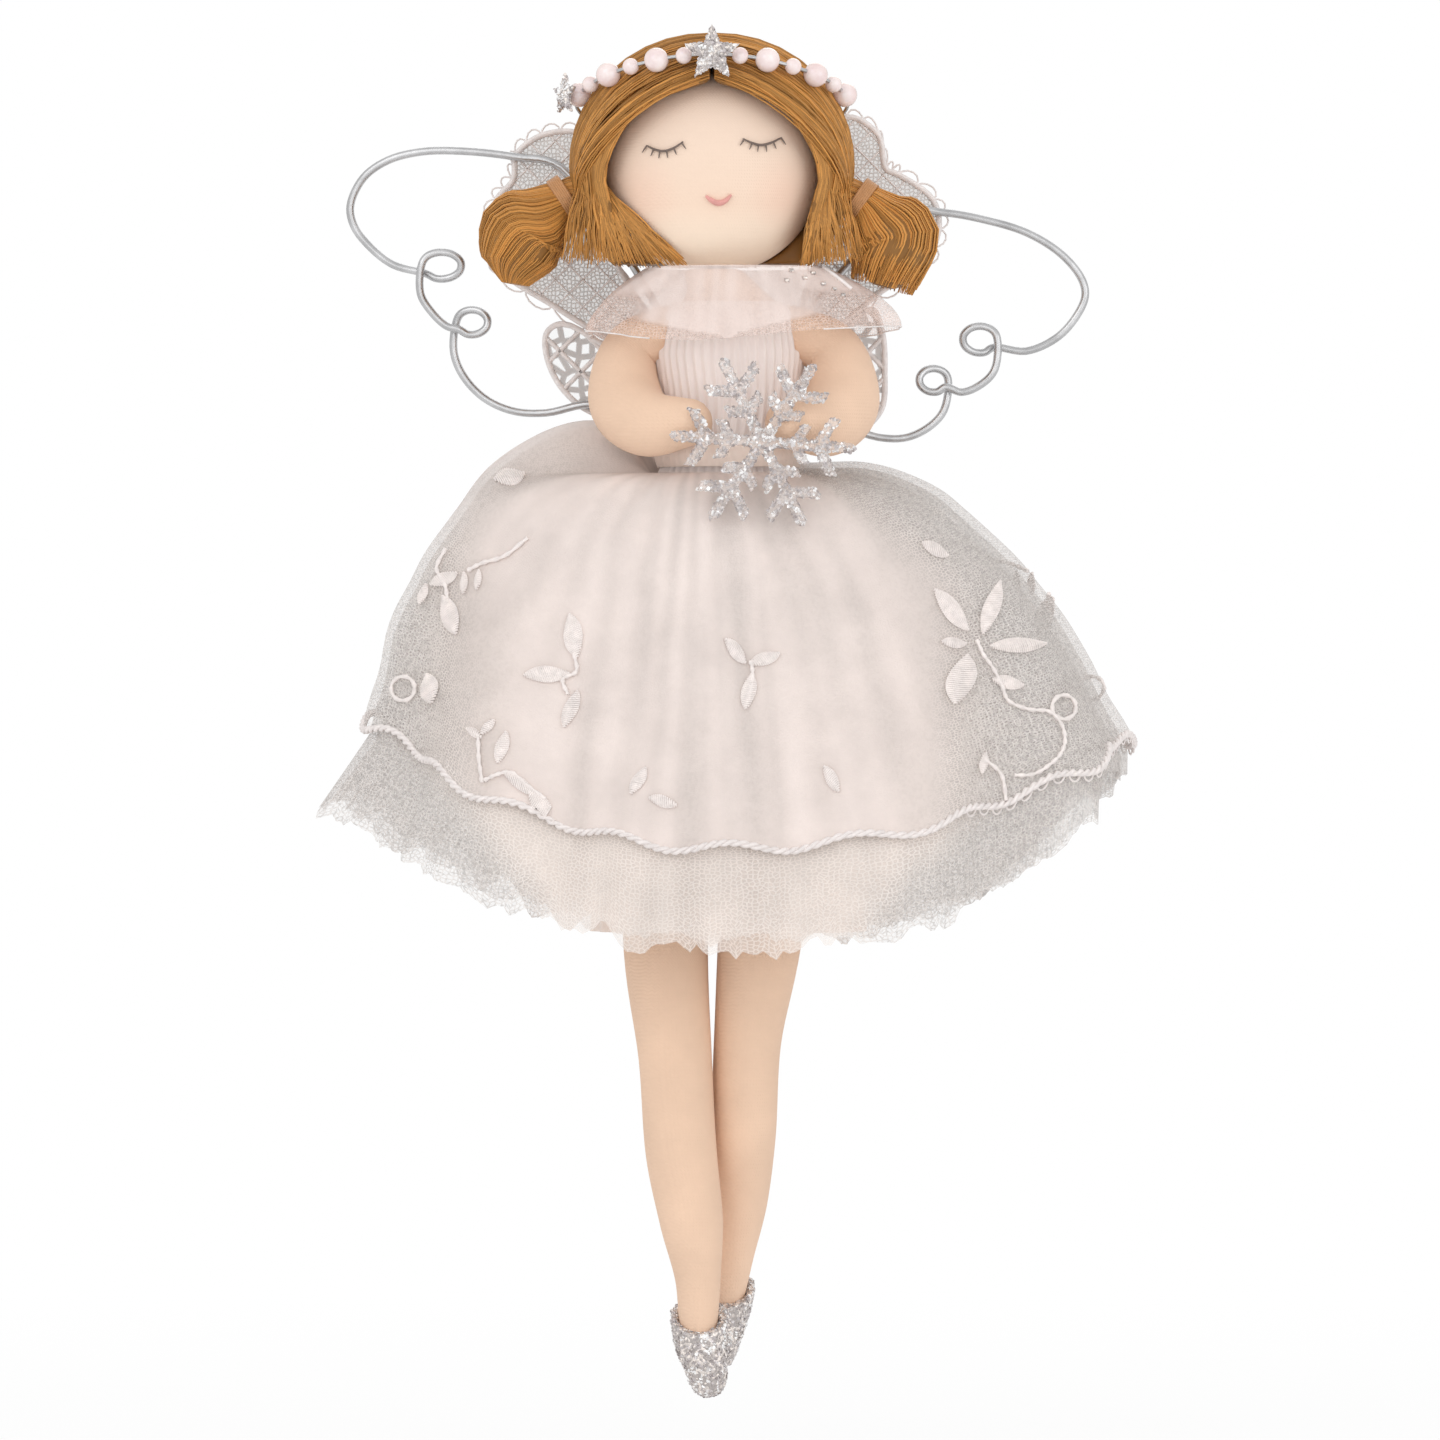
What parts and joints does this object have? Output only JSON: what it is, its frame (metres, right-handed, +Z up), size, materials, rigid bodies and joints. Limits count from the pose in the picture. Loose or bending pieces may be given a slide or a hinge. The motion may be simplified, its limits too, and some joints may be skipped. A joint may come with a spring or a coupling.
{
  "type": "hanging angel doll ornament",
  "caption": "Stuffed fabric angel doll with a bead headband, layered tulle and lace skirt, glitter snowflake, legs that swing at the hips and bent wire wings that fold back.",
  "frame": {"origin": "the crown of the hair, the highest point of the head, from which the doll hangs", "axes": "+Z up along the hanging doll, the doll faces -Y, +X to the right of someone who looks at its face"},
  "size_m": [0.1214, 0.0568, 0.2046],
  "materials": {
    "knit_skin": "fine stretch knit, matte",
    "lash_thread": "embroidery thread",
    "lip_thread": "embroidery thread",
    "hair_fibre": "combed shiny fibre",
    "hair_tie": "wound thread",
    "pearl": "pearly",
    "silver_glitter": "silver glitter over card and felt",
    "tulle": "sheer net",
    "lace": "embroidered net with a corded edge",
    "satin": "soft satin",
    "silver_wire": "bright drawn wire",
    "felt": "wool felt"
  },
  "bodies": {
    "doll": {"head": "knit_skin", "left_eyelash": "lash_thread", "right_eyelash": "lash_thread", "mouth_stitch": "lip_thread", "left_hair": "hair_fibre", "right_hair": "hair_fibre", "left_bunch": "hair_fibre", "right_bunch": "hair_fibre", "left_hair_tie": "hair_tie", "right_hair_tie": "hair_tie", "headband_string": "silver_wire", "headband_bead_1": "pearl", "headband_bead_2": "pearl", "headband_bead_3": "pearl", "headband_bead_4": "pearl", "headband_bead_5": "pearl", "headband_bead_6": "pearl", "headband_bead_7": "pearl", "headband_bead_8": "pearl", "headband_bead_9": "pearl", "headband_bead_10": "pearl", "headband_bead_11": "pearl", "headband_bead_12": "pearl", "headband_bead_13": "pearl", "crown_star": "silver_glitter", "side_star": "silver_glitter", "torso": "knit_skin", "left_arm": "knit_skin", "right_arm": "knit_skin", "bodice": "satin", "shoulder_collar": "tulle", "waistband": "satin", "lace_overskirt": "lace", "tulle_outer": "tulle", "tulle_inner": "tulle", "slip": "satin", "snowflake": "silver_glitter", "wing_patch": "felt"},
    "front_leg": {"left_leg": "knit_skin", "left_shoe": "silver_glitter"},
    "rear_leg": {"right_leg": "knit_skin", "right_shoe": "silver_glitter"},
    "left_wing": {"left_wing_wire": "silver_wire", "left_upper_lace": "lace", "left_lower_lace": "lace"},
    "right_wing": {"right_wing_wire": "silver_wire", "right_upper_lace": "lace", "right_lower_lace": "lace"}
  },
  "joints": [
    {"name": "front_leg_swing", "type": "hinge", "parent": "doll", "child": "front_leg", "pos_m": [-0.0045, 0, -0.0852], "axis": [-1, 0, 0], "range_deg": [0, 10]},
    {"name": "rear_leg_swing", "type": "hinge", "parent": "doll", "child": "rear_leg", "pos_m": [0.0095, 0, -0.0852], "axis": [1, 0, 0], "range_deg": [0, 12]},
    {"name": "left_wing_fold", "type": "hinge", "parent": "doll", "child": "left_wing", "pos_m": [-0.0021, 0.00981, -0.0541], "axis": [0, 0, -1], "range_deg": [0, 45]},
    {"name": "right_wing_fold", "type": "hinge", "parent": "doll", "child": "right_wing", "pos_m": [0.0071, 0.00981, -0.0541], "axis": [0, 0, 1], "range_deg": [0, 45]}
  ]
}
